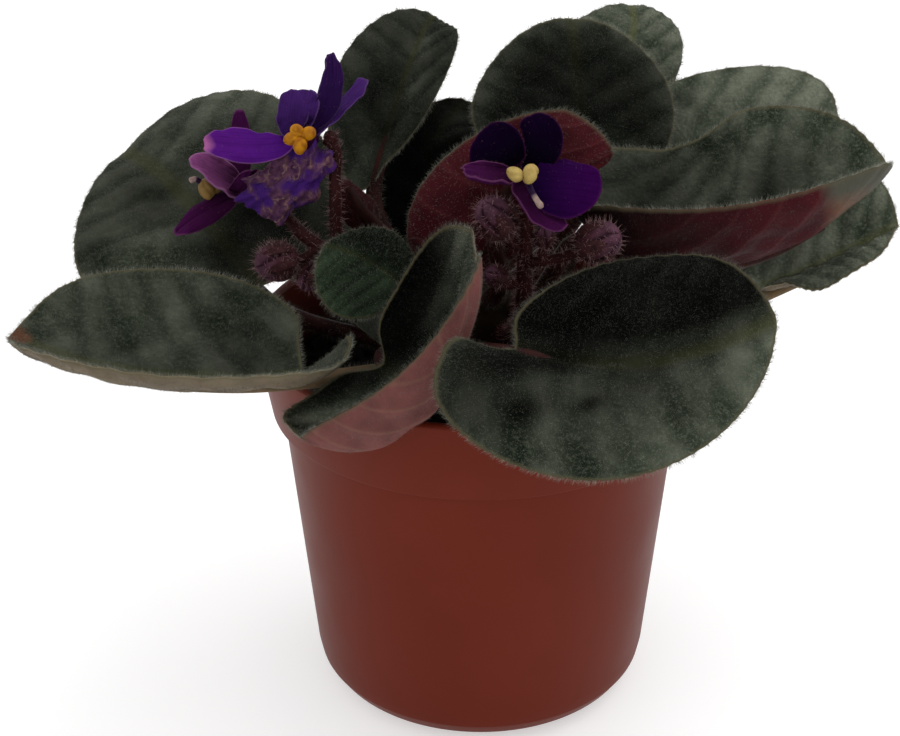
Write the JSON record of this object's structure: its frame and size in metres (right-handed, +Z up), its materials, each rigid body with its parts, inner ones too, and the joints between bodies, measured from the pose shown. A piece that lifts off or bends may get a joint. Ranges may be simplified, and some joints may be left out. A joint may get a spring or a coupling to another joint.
{
  "type": "potted miniature african violet",
  "caption": "Small rosette of felted oval leaves with violet flowers, buds and hairy stalks, rooted in potting mix in a tapered round plastic pot with a collar.",
  "frame": {"origin": "centre of the pot's underside, on the surface it stands on", "axes": "+Z up along the pot's axis, +X to the right and +Y away from the viewer as the picture sees the plant"},
  "size_m": [0.1322, 0.0994, 0.1036],
  "materials": {
    "pot_plastic": "satin terracotta plastic",
    "potting_mix": "dark crumbly potting mix",
    "leaf": "felted grey-green leaf, wine-red below",
    "stem": "hairy dark red-brown stalk",
    "petal": "thin velvety violet petal",
    "anther": "waxy yellow-orange anther"
  },
  "bodies": {
    "root": {"pot": "pot_plastic", "soil": "potting_mix", "crown_stem": "stem", "leaf_left_front": "leaf", "leaf_left_back": "leaf", "leaf_back_left": "leaf", "leaf_back_middle": "leaf", "leaf_back_right": "leaf", "leaf_back_far": "leaf", "leaf_young_centre": "leaf", "leaf_right_folded": "leaf", "leaf_right_back": "leaf", "leaf_right_low": "leaf", "leaf_front_right": "leaf", "leaf_front_cupped": "leaf", "leaf_small_centre": "leaf", "leaf_small_back": "leaf", "flower_stalk_left": "stem", "flower_stalk_right": "stem", "corolla_left": "petal", "corolla_side": "petal", "corolla_right": "petal", "anthers_left": "anther", "anthers_side": "anther", "anthers_right": "anther"}
  },
  "joints": []
}
